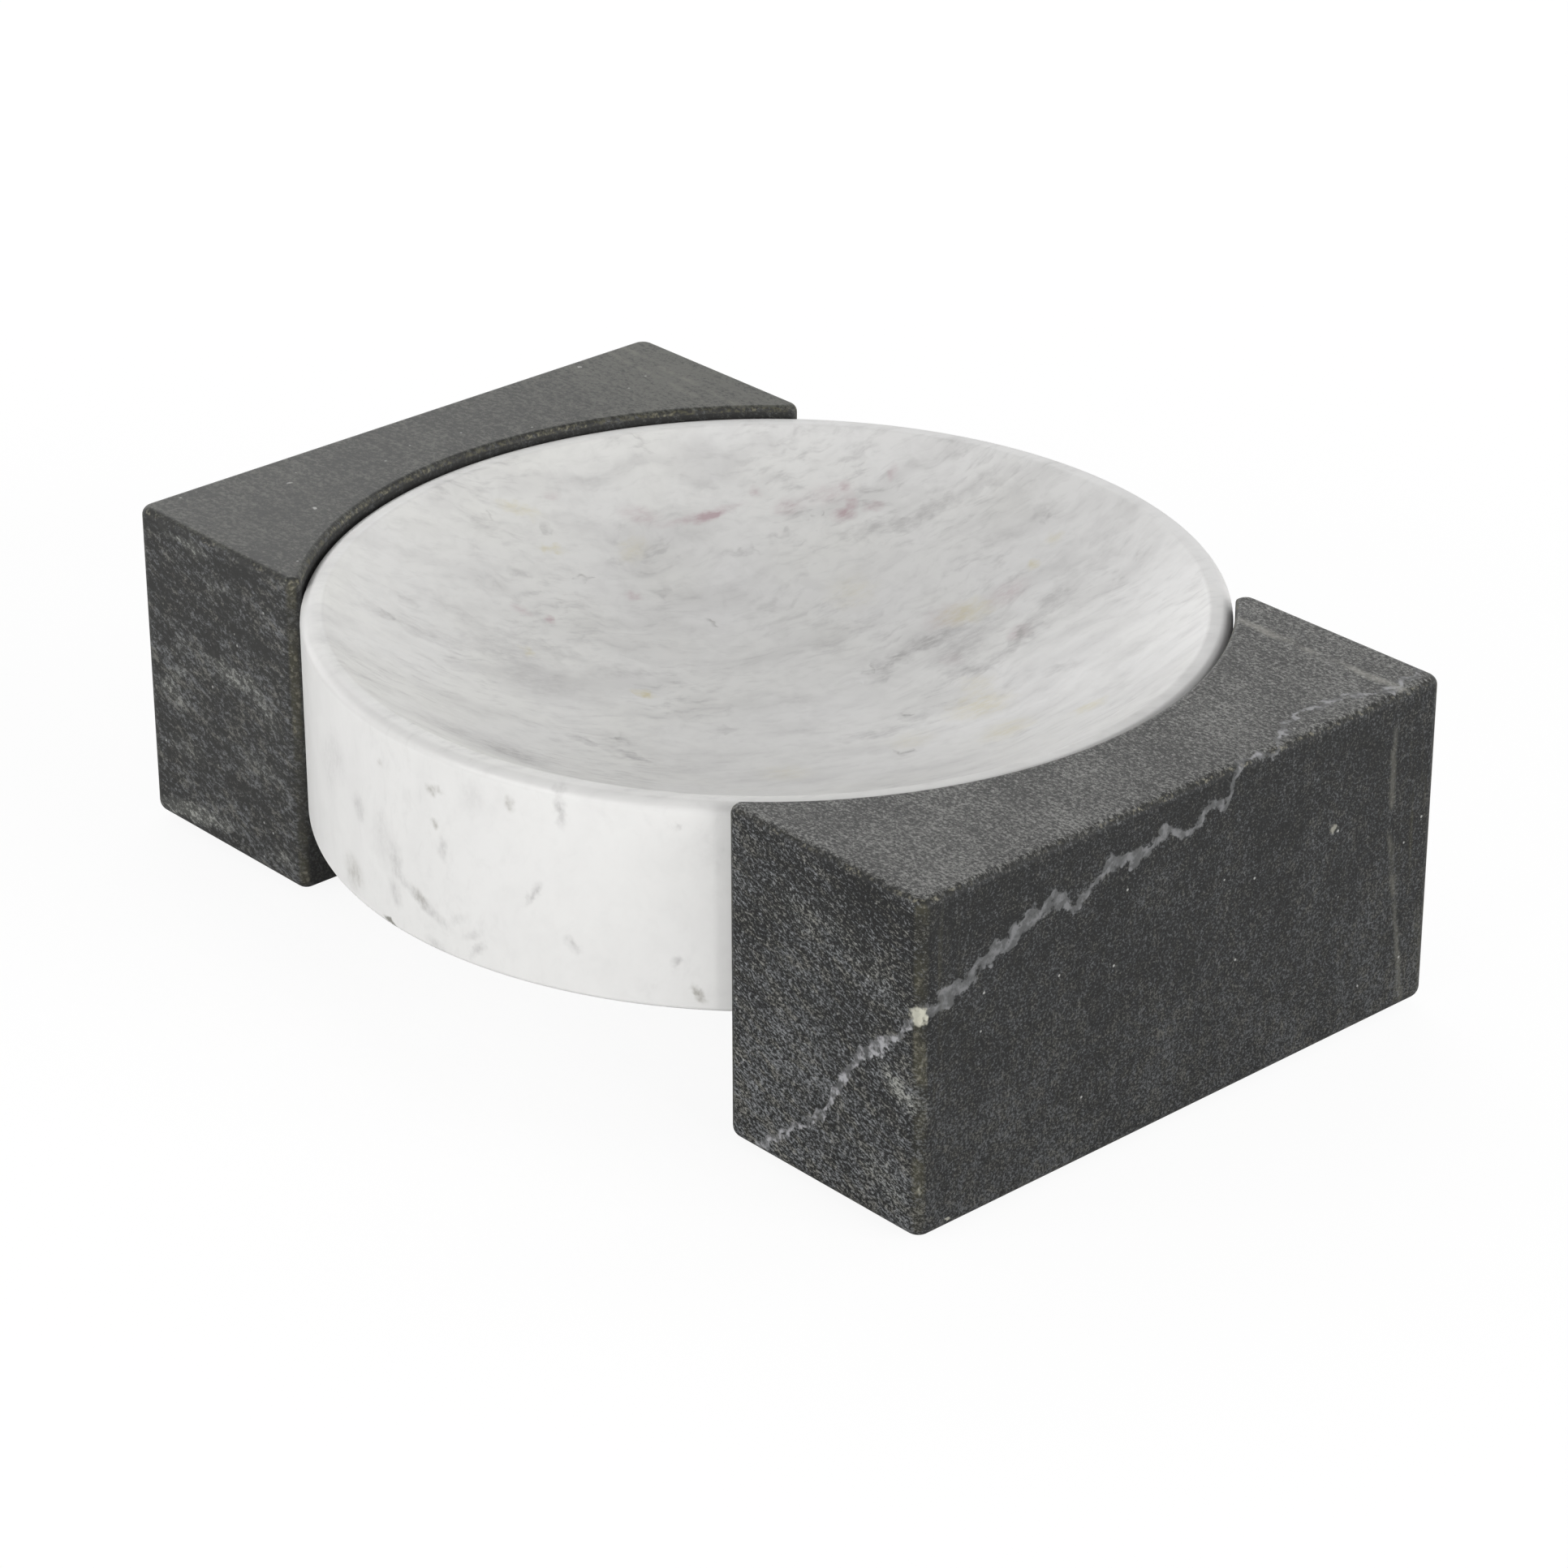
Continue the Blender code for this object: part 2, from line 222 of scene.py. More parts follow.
# Marks of the bowl: x, y, turn, half length, half width, strength
BOWL_MARKS = (
    (MAUVE, (
        (-63.9, 37.7, 71, 10.5, 1.4, 0.34), (-62.9, 38.5, 76, 4.1, 1.4, 0.55),
        (-71.8, 25.5, 47, 5.5, 2.8, 0.24), (-60.9, 51, 64, 1.5, 1.4, 0.3),
        (-53.1, 54.3, 53, 3.9, 2.7, 0.26), (-48.4, 63.2, 49, 7.4, 3.5, 0.2),
        (-42.4, 61.5, 55, 3, 2.1, 0.6), (-43.2, 64.8, 51, 1.7, 1.8, 0.45),
        (-47.2, 66.5, -67, 1.7, 1.4, 0.3), (-38.5, 67.5, 43, 2.6, 1.5, 0.42),
        (-41.1, 75.5, -61, 2.3, 1.4, 0.42), (-84.6, 10, 66, 2.6, 1.4, 0.22),
        (-56.7, -14.3, 30, 1.6, 1.7, 0.5), (-60.9, -18.7, 38, 2.7, 1.7, 0.3),
        (-55.3, 9.2, 51, 2.3, 1.5, 0.34), (-0.3, 54.5, 51, 6.3, 5, 0.2),
        (6.8, 65.6, 71, 5.9, 4.1, 0.24), (11.7, 44.3, -12, 3.8, 2.6, 0.2),
        (19.9, 57.2, 58, 3.1, 3.3, 0.4),
    )),
    (BEIGE, (
        (2.7, 57.4, 44, 7, 4.5, 0.34), (32.8, 32.1, 2, 7.9, 7, 0.36),
        (24.8, 39.2, -13, 5.5, 4.3, 0.18), (49.8, 24, 52, 6.2, 6.6, 0.28),
        (65.4, 33.3, 7, 4, 4.2, 0.36), (6.5, 74.7, 62, 1.9, 2, 0.4),
        (5.5, 81.2, 43, 2.5, 2.2, 0.24), (-24.9, 47.7, -88, 6.3, 6.7, 0.12),
        (-26.6, -11.7, 34, 2.9, 2, 0.7), (-65.5, 18.1, -74, 5, 3.1, 0.2),
        (-73.5, 0.8, 64, 3.7, 1.3, 0.34), (-84.6, 0.3, 57, 5.9, 2.2, 0.34),
        (-48.6, -26.9, 26, 1.8, 1.9, 0.4), (22, -13.9, 59, 6.6, 6.8, 0.18),
        (30.5, 14.2, 70, 5.6, 6, 0.16),
    )),
    (WHITE_GREY, (
        (0.1, 36.8, 86, 7.5, 3.3, 0.5), (2.1, 47, 69, 9, 3.5, 0.5),
        (2.8, 31.9, -89, 3.7, 2, 0.4), (11.1, 46.6, 45, 8, 7.5, 0.3),
        (18.9, 43.1, 40, 5.8, 3, 0.42), (9.5, 55.6, 85, 7.5, 5, 0.24),
        (21.8, 51.2, 89, 6.7, 2.6, 0.36), (21.1, 59.5, -84, 6.6, 3.6, 0.34),
        (20, 69.2, 78, 6.3, 4.4, 0.34), (22.8, 80.7, 46, 8.2, 4.2, 0.2),
        (18.7, 86.2, 39, 6.5, 2.3, 0.26), (-31.8, 65.8, 46, 10.4, 2.5, 0.3),
        (-26.3, 75.8, 65, 8.5, 2.3, 0.34), (-20.1, 86.6, 54, 8.1, 2.8, 0.32),
        (-1.6, 85.8, 45, 4.1, 2.7, 0.38), (-30.6, 88.5, 60, 2.6, 1.5, 0.26),
        (-63, 65.4, 71, 3.1, 1.1, 0.26), (-50.3, 74.6, 87, 1.8, 1.4, 0.26),
        (-38.9, 80.5, 58, 2.6, 1.1, 0.26), (-48.6, 48.1, 66, 3.7, 1.5, 0.26),
        (-51.1, 38.4, 50, 4.4, 1.3, 0.26), (-34.5, 32.2, 87, 3.5, 3, 0.24),
        (-15.8, 32.4, 57, 5, 4.2, 0.2), (-6, 13.7, 68, 5.2, 2.9, 0.28),
        (20.8, 13.6, 57, 10.7, 2.5, 0.42), (22.5, 23.6, 41, 4.9, 2.3, 0.3),
        (7.2, 5.3, 45, 3.7, 2.4, 0.24), (41.1, 48.9, 36, 4.4, 2.3, 0.3),
        (55.2, 54.1, 55, 5.9, 4.7, 0.16), (64.9, 40.8, 7, 6.1, 2.5, 0.2),
        (-83.8, 20, 51, 3.9, 1.5, 0.28), (-68.9, 43.3, 75, 3.4, 1.6, 0.2),
        (-70.4, -11.5, 58, 2.9, 1.8, 0.28), (-78.6, -17.2, 72, 3.1, 1.6, 0.2),
        (-66.5, -46.2, 70, 3.4, 1.8, 0.3), (-63.4, -60.5, 69, 8.7, 2.1, 0.22),
        (-63.4, -35.7, 39, 10.1, 2.9, 0.18), (-56.7, -48, 63, 18.5, 4.1, 0.2),
        (-47.5, -20.8, 42, 9.2, 2.4, 0.24), (-36.3, -11.7, 68, 9.1, 2.2, 0.22),
        (-5.5, -72, 20, 13.1, 12.2, 0.3), (-2.2, -68, 8, 7.7, 7.2, 0.36),
        (-14.3, -79.1, 32, 8.8, 7.5, 0.28), (-11.4, -32.4, 54, 4.5, 4.9, 0.36),
        (-12.7, -40.8, 22, 4.6, 2.1, 0.44), (-3.8, -36.2, 12, 7.3, 2, 0.6),
        (-5.6, -8, 72, 3.4, 2.2, 0.36), (-12.3, -1, 90, 3.9, 1.3, 0.24),
        (-52.6, 15.3, 33, 2.1, 2.2, 0.3), (-64.5, 12.1, 35, 2.1, 1.4, 0.24),
        (-50.6, -32, 64, 7.9, 7.6, 0.22), (-37.9, -32.5, 5, 10.9, 9.6, 0.22),
        (5.9, -29.7, -89, 17.3, 5.7, 0.14), (-32.6, -7.3, 56, 2.9, 1.9, 0.22),
    )),
    (DEEP_GREY, (
        (-46.2, 58.3, 43, 1.5, 1.2, 0.6), (-64, 1.9, 44, 1.8, 1.5, 0.36),
        (-39.9, 18.4, 54, 1.4, 1.5, 0.34), (-60.7, -54.8, 60, 2, 2.1, 0.34),
        (-11.6, -32.3, 18, 2.3, 2.5, 0.4), (-78.5, 3.6, 70, 1.5, 1.2, 0.3),
        (-85.5, -7.7, 76, 1.1, 1.1, 0.3), (20.2, 23.1, 71, 1.5, 1.7, 0.6),
        (34.3, 8.8, -7, 2.6, 1.4, 0.45), (-1.7, 32.4, 67, 1.7, 1.8, 0.5),
        (20.5, 57.1, 76, 2.1, 2.3, 0.3), (0.1, 85.9, 52, 1.3, 1.4, 0.3),
    )),
    (WHITE_GROUND, (
        (30.3, 0.6, -29, 7, 0.8, 0.75), (-1.2, 27.6, 45, 1.1, 1.1, 1.0),
    )),
)

# Marks of the dish's side: bearing, height, tilt, half length, half width, strength
SIDE_MARKS = (
    (WHITE_GREY, (
        (-9.8, 51.2, 4, 2.9, 2.2, 0.36), (-15.8, 58.9, 17, 5.8, 4.7, 0.18),
        (-19, 53.9, 4, 7, 4.4, 0.16), (-1.9, 45.2, 12, 4.7, 2.2, 0.32),
        (-2.2, 37.2, 17, 3.1, 1.9, 0.3), (2.9, 38.6, 66, 8.5, 1.5, 0.4),
        (-4.5, 48.8, 6, 6.8, 3.3, 0.14), (11.6, 67.6, 60, 3.4, 3.7, 0.14),
        (6.8, 53.2, 0, 2.8, 1.4, 0.28), (23.8, 69.9, 6, 3.6, 1.3, 0.4),
        (23.5, 74.3, -78, 1.6, 1, 0.3), (20, 49.8, -30, 3.4, 1, 0.44),
        (11.1, 35.6, -60, 3.2, 1, 0.24), (11.9, 32.8, -39, 2.7, 1, 0.34),
        (5.1, 30, 78, 2.9, 1.4, 0.24), (8.8, 38.2, -55, 3.7, 1, 0.14),
        (25, 40, 50, 2.3, 1.2, 0.32), (38, 70.1, 79, 0.8, 0.8, 0.34),
        (37.7, 39.7, -49, 1.4, 1, 0.34), (41.9, 64.5, 13, 5.2, 4.7, 0.1),
    )),
    (SPOT_BROWN, (
        (-11.9, 34.8, 24, 3.9, 4, 0.34), (2.4, 39.3, 59, 2.7, 1.6, 0.3),
        (5.2, 65.7, 24, 1.4, 1.5, 0.4), (6.6, 66.6, 78, 0.9, 1, 0.28),
        (5.7, 58.3, 37, 1.1, 1.2, 0.4), (17.1, 68.9, 7, 1.7, 1.2, 0.36),
        (-4.4, 65.7, 77, 1.1, 1.1, 0.28), (40.2, 32.6, 37, 2.2, 1, 0.5),
    )),
    (FLECK_OLIVE, ((-3.5, 29.6, 80, 2.4, 0.8, 1.0),)),
)

# Marks of the blocks: x, y, z, slope down, half length, half width, strength
LEFT_BANDS = (
    (-109.6, -74.5, 73.9, 5, 9.4, 1.4, 0.9), (-70.3, -74.5, 77.0, 6, 3.0, 1.7, 0.8),
    (-94.2, -74.5, 47.1, 3, 10.4, 2.7, 0.8), (-82.3, -74.5, 43.4, 36, 8.2, 2.3, 0.6),
    (-116.6, -74.5, 38.0, -42, 9.5, 1.9, 0.5), (-115.4, -74.5, 34.1, 5, 6.9, 2.2, 0.6),
    (-110.8, -74.5, 6.2, -8, 16.2, 2.5, 1.2), (-78.2, -74.5, 7.8, -3, 4.5, 2.3, 0.6),
    (-96.4, -74.5, 67.0, 2, 7.8, 1.7, 0.35), (-112.4, -74.5, 47.8, -35, 4.3, 2.1, 0.3),
    (-84.3, -74.5, 27.9, 5, 8.3, 2.9, 0.35), (-112.0, -74.5, 21.7, 1, 6.7, 2.8, 0.3),
)
LEFT_DOTS = ((-98.9, -46.1, 77.2, 0, 0.9, 0.6, 0.9), (-113.8, -41.6, 77.2, 0, 0.5, 0.5, 0.6),
             (-122.8, 50.8, 77.2, 0, 0.6, 0.5, 0.7))
RIGHT_BANDS = (
    (121.6, -74.5, 34, 38, 8, 2.2, 1.2), (110, -74.5, 60, 28, 16, 4, 0.3),
    (92, -74.5, 62, 30, 9, 3.4, 0.3), (117, -74.5, 12, 35, 8, 4, 0.4),
)
RIGHT_DOTS = (
    (126, -74, 51.9, 20, 2.3, 2.5, 0.85), (126.9, -73.3, 51.9, 0, 1.3, 2.3, 0.85),
    (126.4, -74, 13, 80, 1.6, 0.7, 0.5), (127, -66.5, 4.2, 20, 0.8, 0.5, 0.45),
    (127, 42.4, 52.8, 0, 0.8, 1.1, 0.34),
)


# Modelling helpers

def pick(piece, kind, test):
    """Select the faces or edges of the piece in edit mode that a test on them accepts."""
    mode = {"faces": 'FACE', "edges": 'EDGE'}[kind]
    bpy.ops.mesh.select_mode(type=mode)
    bpy.ops.mesh.select_all(action='DESELECT')
    mesh = bmesh.from_edit_mesh(piece.data)
    for item in getattr(mesh, kind):
        item.select_set(test(item))
    bmesh.update_edit_mesh(piece.data)


def begin(name):
    """Name the primitive that was just added and go into edit mode with its place in its mesh."""
    piece = bpy.context.object
    piece.name = name
    piece.data.name = name
    bpy.ops.object.transform_apply(location=True, rotation=True, scale=True)
    bpy.ops.object.mode_set(mode='EDIT')
    return piece


def near(a, b, gap=0.02 * MM):
    return abs(a - b) < gap


def ring(edge, radius, height):
    """Whether an edge lies on the ring round the Z axis with this radius and height."""
    return level(edge, height) and all(near(v.co.to_2d().length, radius) for v in edge.verts)


def level(edge, height):
    return all(near(v.co.z, height) for v in edge.verts)


def upright(edge):
    first, last = (v.co for v in edge.verts)
    return near(first.x, last.x) and near(first.y, last.y)


def apply_modifier(piece, kind, **settings):
    modifier = piece.modifiers.new(kind.title(), kind)
    for name, value in settings.items():
        setattr(modifier, name, value)
    bpy.context.view_layer.objects.active = piece
    bpy.ops.object.modifier_apply(modifier=modifier.name)


def finish_shape(piece):
    """Close the mesh's seams, turn its faces outwards and shade its rounds smooth."""
    bpy.ops.object.mode_set(mode='EDIT')
    bpy.ops.mesh.select_all(action='SELECT')
    bpy.ops.mesh.remove_doubles(threshold=WELD_DISTANCE)
    bpy.ops.mesh.normals_make_consistent(inside=False)
    bpy.ops.object.mode_set(mode='OBJECT')
    bpy.ops.object.shade_smooth_by_angle(angle=SMOOTH_ANGLE)
    apply_modifier(piece, 'WEIGHTED_NORMAL', mode='FACE_AREA', weight=50, keep_sharp=True)


# Pieces

def model_dish():
    """A disc hollowed to a shallow round bowl, with a narrow flat rim and eased edges."""
    bpy.ops.object.select_all(action='DESELECT')
    middle = (dish_high.z + dish_low.z) / 2
    bpy.ops.mesh.primitive_cylinder_add(vertices=DISH_SIDES, radius=dish_radius,
                                        depth=dish_high.z - dish_low.z, location=(0, 0, middle))
    dish = begin("marble_dish")
    pick(dish, "faces", lambda face: face.normal.z > 0.9)
    bpy.ops.mesh.inset(thickness=RIM_WIDTH)

    rim_inner = dish_radius - RIM_WIDTH
    bowl_radius = (rim_inner ** 2 + BOWL_DEPTH ** 2) / (2 * BOWL_DEPTH)
    steepest = atan(rim_inner / (bowl_radius - BOWL_DEPTH))
    radius, drop = rim_inner, 0
    for step in range(1, BOWL_RINGS):
        slope = steepest * (1 - step / BOWL_RINGS)
        next_radius = bowl_radius * sin(slope)
        next_drop = bowl_radius * (cos(slope) - cos(steepest))
        bpy.ops.mesh.inset(thickness=radius - next_radius, depth=drop - next_drop)
        radius, drop = next_radius, next_drop
    bpy.ops.mesh.merge(type='CENTER')

    inner_offset = RIM_INNER_ROUND * tan(steepest / 2)
    for radius, height, offset in ((rim_inner, dish_high.z, inner_offset),
                                   (dish_radius, dish_high.z, RIM_OUTER_ROUND),
                                   (dish_radius, dish_low.z, DISH_BOTTOM_ROUND)):
        pick(dish, "edges", lambda edge: ring(edge, radius, height))
        bpy.ops.mesh.bevel(offset=offset, segments=ROUND_STEPS, affect='EDGES')
    bpy.ops.object.mode_set(mode='OBJECT')
    finish_shape(dish)
    return dish


def model_seat_cutter():
    """A round plug with a flared top, which cuts the curved wall, the ledge and the mouth."""
    bpy.ops.object.select_all(action='DESELECT')
    mouth_start = block_top - SEAT_EDGE_ROUND
    bpy.ops.mesh.primitive_cylinder_add(vertices=DISH_SIDES, radius=seat_radius,
                                        depth=mouth_start - ledge_top,
                                        location=(0, 0, (mouth_start + ledge_top) / 2))
    cutter = begin("seat_cutter")
    pick(cutter, "faces", lambda face: face.normal.z > 0.9)
    radius, height = seat_radius, mouth_start
    steps = [QUARTER_TURN * step / ROUND_STEPS for step in range(1, ROUND_STEPS + 1)]
    for angle in steps:
        next_radius = seat_radius + SEAT_EDGE_ROUND * (1 - cos(angle))
        next_height = mouth_start + SEAT_EDGE_ROUND * sin(angle)
        rise, growth = next_height - height, next_radius / radius
        bpy.ops.mesh.extrude_region_move(TRANSFORM_OT_translate={"value": (0, 0, rise)})
        bpy.ops.transform.resize(value=(growth, growth, 1), center_override=(0, 0, next_height))
        last_step = Vector((next_radius - radius, next_height - height))
        radius, height = next_radius, next_height

    # The last facet of the mouth runs on upwards, so it leaves the block's top at an angle
    overrun = last_step.normalized() * CUT_OVERRUN
    growth = (radius + overrun.x) / radius
    bpy.ops.mesh.extrude_region_move(TRANSFORM_OT_translate={"value": (0, 0, overrun.y)})
    bpy.ops.transform.resize(value=(growth, growth, 1),
                             center_override=(0, 0, height + overrun.y))
    bpy.ops.object.mode_set(mode='OBJECT')
    return cutter


def model_block(name, node):
    """A bar with round corners and soft edges, cut to the dish's curve down to its ledge."""
    low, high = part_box(node)
    bpy.ops.object.select_all(action='DESELECT')
    bpy.ops.mesh.primitive_cube_add(size=1, location=(low + high) / 2, scale=high - low)
    block = begin(name)
    middle = abs((low.x + high.x) / 2)
    pick(block, "edges", lambda edge: upright(edge) and abs(edge.verts[0].co.x) > middle)
    bpy.ops.mesh.bevel(offset=OUTER_CORNER_ROUND, segments=CORNER_STEPS, affect='EDGES')
    pick(block, "edges", lambda edge: upright(edge) and abs(edge.verts[0].co.x) < middle)
    bpy.ops.mesh.bevel(offset=TIP_CORNER_ROUND, segments=ROUND_STEPS, affect='EDGES')
    for height, offset in ((high.z, EDGE_ROUND), (low.z, BOTTOM_EDGE_ROUND)):
        pick(block, "edges", lambda edge: level(edge, height))
        bpy.ops.mesh.bevel(offset=offset, segments=ROUND_STEPS, affect='EDGES')
    bpy.ops.object.mode_set(mode='OBJECT')

    cutter = model_seat_cutter()
    apply_modifier(block, 'BOOLEAN', operation='DIFFERENCE', solver='EXACT', object=cutter)
    bpy.data.objects.remove(cutter, do_unlink=True)
    block.select_set(True)
    bpy.context.view_layer.objects.active = block
    finish_shape(block)
    return block


# Shader helpers

class Wire:
    """A socket. Sums and products of wires and numbers add Math nodes."""

    def __init__(self, nodes, socket):
        self.nodes = nodes
        self.socket = socket

    def math(self, operation, *values, clamp=False):
        return self.nodes.add("Math", {"operation": operation, "use_clamp": clamp}, values)

    def __add__(self, other):
        return self.math('ADD', self, other)

    def __sub__(self, other):
        return self.math('SUBTRACT', self, other)

    def __rsub__(self, other):
        return self.math('SUBTRACT', other, self)

    def __mul__(self, other):
        return self.math('MULTIPLY', self, other)

    def __truediv__(self, other):
        return self.math('DIVIDE', self, other)

    def __abs__(self):
        return self.math('ABSOLUTE', self)

    __radd__ = __add__
    __rmul__ = __mul__

    def limited(self):
        return self.math('ADD', self, 0, clamp=True)

    def or_more(self, other):
        return self.math('MAXIMUM', self, other)

    def rise(self, low, high):
        """0 below low and 1 above high, with a soft change between them."""
        return self.nodes.add("MapRange", {"interpolation_type": 'SMOOTHSTEP'},
                              {"Value": self, "From Min": low, "From Max": high})

    def fall(self, low, high):
        return 1 - self.rise(low, high)

    def curve(self, stops):
        """A value read along straight lines between (position, value) stops."""
        first, last = stops[0][0], stops[-1][0]
        values = [value for _, value in stops]
        least, most = min(values), max(values)
        shares = [((at - first) / (last - first), (value - least) / (most - least))
                  for at, value in stops]
        where = (self - first) / (last - first)
        ramp = self.nodes.add("ValToRGB", {"stops": shares}, [where])
        return ramp * (most - least) + least


class Nodes:
    """The nodes of a material or of the world."""

    def __init__(self, owner):
        owner.use_nodes = True
        self.tree = owner.node_tree

    def add(self, kind, settings, values, output=0):
        """Add a node: its settings first, then the values or links of its sockets."""
        node = self.tree.nodes.new("ShaderNode" + kind)
        for name, setting in settings.items():
            if name == "stops":
                self.set_stops(node.color_ramp, setting)
            else:
                setattr(node, name, setting)
        pairs = values.items() if isinstance(values, dict) else enumerate(values)
        for socket, value in pairs:
            self.feed(node.inputs[socket], value)
        return Wire(self, node.outputs[output])

    def feed(self, socket, value):
        if isinstance(value, Wire):
            self.tree.links.new(value.socket, socket)
        else:
            socket.default_value = value

    def set_stops(self, ramp, stops):
        ramp.interpolation = 'LINEAR'
        while len(ramp.elements) < len(stops):
            ramp.elements.new(1)
        for element, (share, value) in zip(ramp.elements, stops):
            element.position = share
            element.color = (value, value, value, 1)


class Finish(Nodes):
    """A material, with the fields that its pattern is written in."""

    def __init__(self, name):
        self.material = bpy.data.materials.new(name)
        super().__init__(self.material)
        self.shader = self.tree.nodes["Principled BSDF"]
        self.place = self.scaled(self.add("TexCoord", {}, [], "Object"), 1 / MM)
        self.normal = self.add("TexCoord", {}, [], "Normal")

    def scaled(self, vector, factor):
        return self.add("VectorMath", {"operation": 'SCALE'}, {0: vector, "Scale": factor})

    def moved(self, vector, offset):
        return self.add("VectorMath", {"operation": 'ADD'}, [vector, offset])

    def wandered(self, vector, size, reach):
        """A place shifted to and fro by up to half its reach, over distances of a size."""
        push = self.add("TexNoise", {}, {"Vector": vector, "Scale": 1 / size, "Detail": 1.0},
                        "Color")
        push = self.scaled(self.moved(push, (-0.5, -0.5, -0.5)), 2 * reach)
        return self.moved(vector, push)

    def parts(self, vector):
        """How far a vector reaches along X, Y and Z."""
        return [self.along(vector, axis) for axis in AXES]

    def along(self, vector, direction):
        """How far a vector reaches in a direction."""
        return self.add("VectorMath", {"operation": 'DOT_PRODUCT'}, [vector, direction], "Value")

    def vector(self, x, y, z):
        return self.add("CombineXYZ", {}, [x, y, z])

    def noise(self, vector, size=1.0, detail=2.0, roughness=0.5):
        return self.add("TexNoise", {}, {"Vector": vector, "Scale": 1 / size, "Detail": detail,
                                         "Roughness": roughness})

    def cells(self, vector, size):
        """How far a place lies from the nearest of many scattered points, in sizes."""
        return self.add("TexVoronoi", {}, {"Vector": vector, "Scale": 1 / size}, "Distance")

    def blend(self, share, first, second):
        """The first colour where share is 0, the second where it is 1."""
        values = {MIX_SHARE: share, MIX_FIRST: self.colour(first),
                  MIX_SECOND: self.colour(second)}
        return self.add("Mix", {"data_type": 'RGBA'}, values, MIX_RESULT)

    def colour(self, value):
        return value if isinstance(value, Wire) else (*value, 1)

    def turned(self, place, along, across, lengths, shift=0):
        """A place turned to two directions and measured in the lengths along them."""
        third = along.cross(across).normalized()
        axes = (along.normalized(), across.normalized(), third)
        parts = [self.along(place, axis / length) for axis, length in zip(axes, lengths)]
        parts[0] = parts[0] + shift
        return self.vector(*parts)

    def stretched(self, along, across, lengths, shift=0):
        return self.turned(self.place, along, across, lengths, shift)

    def marks(self, place, placements, soft):
        """The summed strength of soft ellipsoids: centre, turns in degrees and half sizes."""
        total = None
        for centre, turns, reach, strength in placements:
            turns = [radians(turn) for turn in turns]
            local = self.add("Mapping", {"vector_type": 'TEXTURE'},
                             {"Vector": place, "Location": centre, "Rotation": turns,
                              "Scale": reach})
            distance = self.add("VectorMath", {"operation": 'LENGTH'}, [local], "Value")
            share = distance.fall(*soft)
            total = share * strength if total is None else share.math(
                'MULTIPLY_ADD', share, strength, total)
        return total

    def faces(self):
        """How much of the surface lies on a block's flat faces and on its eased edges."""
        x, y, z = self.parts(self.normal)
        z_square, x_square, y_square = z * z, x * x, y * y
        radius = self.radius()
        wall, mouth = seat_radius / MM, (seat_radius + SEAT_EDGE_ROUND) / MM
        off_mouth = radius.rise(mouth + 0.7, mouth + 1.7)
        off_wall = radius.rise(wall + 0.05, wall + 0.4)
        level_edge = (z_square * (1 - z_square) * 4).rise(0.5, 0.98)
        chips = self.noise(self.place, 1.3, 3, 0.65) - 0.5
        return {
            "top": (z + z * (1 - z) * chips * 6).rise(0.68, 0.96),
            "end": y_square.rise(0.75, 0.98),
            "outer": x_square.rise(0.75, 0.98),
            "level_edge": level_edge * off_mouth,
            "seat_edge": (z * (1 - z) * 4).rise(0.3, 0.95) * (1 - off_mouth),
            "upright_edge": (x_square * y_square * 4).rise(0.2, 0.9) * off_wall,
        }

    def radius(self):
        """How far a place lies from the upright line through the middle of the dish."""
        plan = self.add("VectorMath", {"operation": 'MULTIPLY'}, [self.place, (1, 1, 0)])
        return self.add("VectorMath", {"operation": 'LENGTH'}, [plan], "Value")

    def coat(self, colour, roughness, bump, bump_height, specular=0.5):
        """Feed the shader: colour, roughness and a relief given in mm."""
        shader = self.shader
        self.feed(shader.inputs["Base Color"], colour)
        self.feed(shader.inputs["Roughness"], roughness)
        shader.inputs["Specular IOR Level"].default_value = specular
        relief = self.add("Bump", {}, {"Height": bump, "Distance": bump_height * MM,
                                       "Strength": 1.0})
        self.feed(shader.inputs["Normal"], relief)
        return self.material


# Finishes

def white_marble():
    """Milky stone with soft grey streaks, a few stained patches and some single marks."""
    stone = Finish("white_marble")
    y = stone.along(stone.place, ACROSS_BLOCK)
    back = y.rise(*DISH_BACK) * stone.along(stone.place, UP).fall(*DISH_SIDE_TOP)
    veined = 1 - stone.radius().rise(*RIM_ACROSS) * (0.72 - back * 0.4)
    streaks = white_streaks(stone) * veined
    warmth = (stone.noise(stone.place, 26, 2) * 1.6 - y * 0.004 - 0.42).limited() * veined
    colour = stone.blend(warmth * 0.6, WHITE_GROUND, WHITE_WARM)
    colour = stone.blend(streaks, colour, WHITE_GREY)

    grain = stone.noise(stone.stretched(LAYER, LAYER_ACROSS, MARK_GRAIN), 1, 4, 0.7)
    colour = white_marks(stone, grain.rise(0.32, 0.7), colour)
    # Partly painted shade: the rim's rounded outer edge is painted greyer, partly for the grey
    # smudges there and partly for the shade on the curve
    slope = stone.along(stone.normal, UP)
    rim_edge_smudge_and_shade = (slope * (1 - slope) * 4).rise(0.2, 0.95) * stone.radius().rise(*RIM_EDGE)
    colour = stone.blend(rim_edge_smudge_and_shade * 0.2, colour, WHITE_GREY)
    roughness = 0.33 + streaks * 0.1 + grain * 0.05
    return stone.coat(colour, roughness, stone.noise(stone.place, 1.6, 2), 0.004)


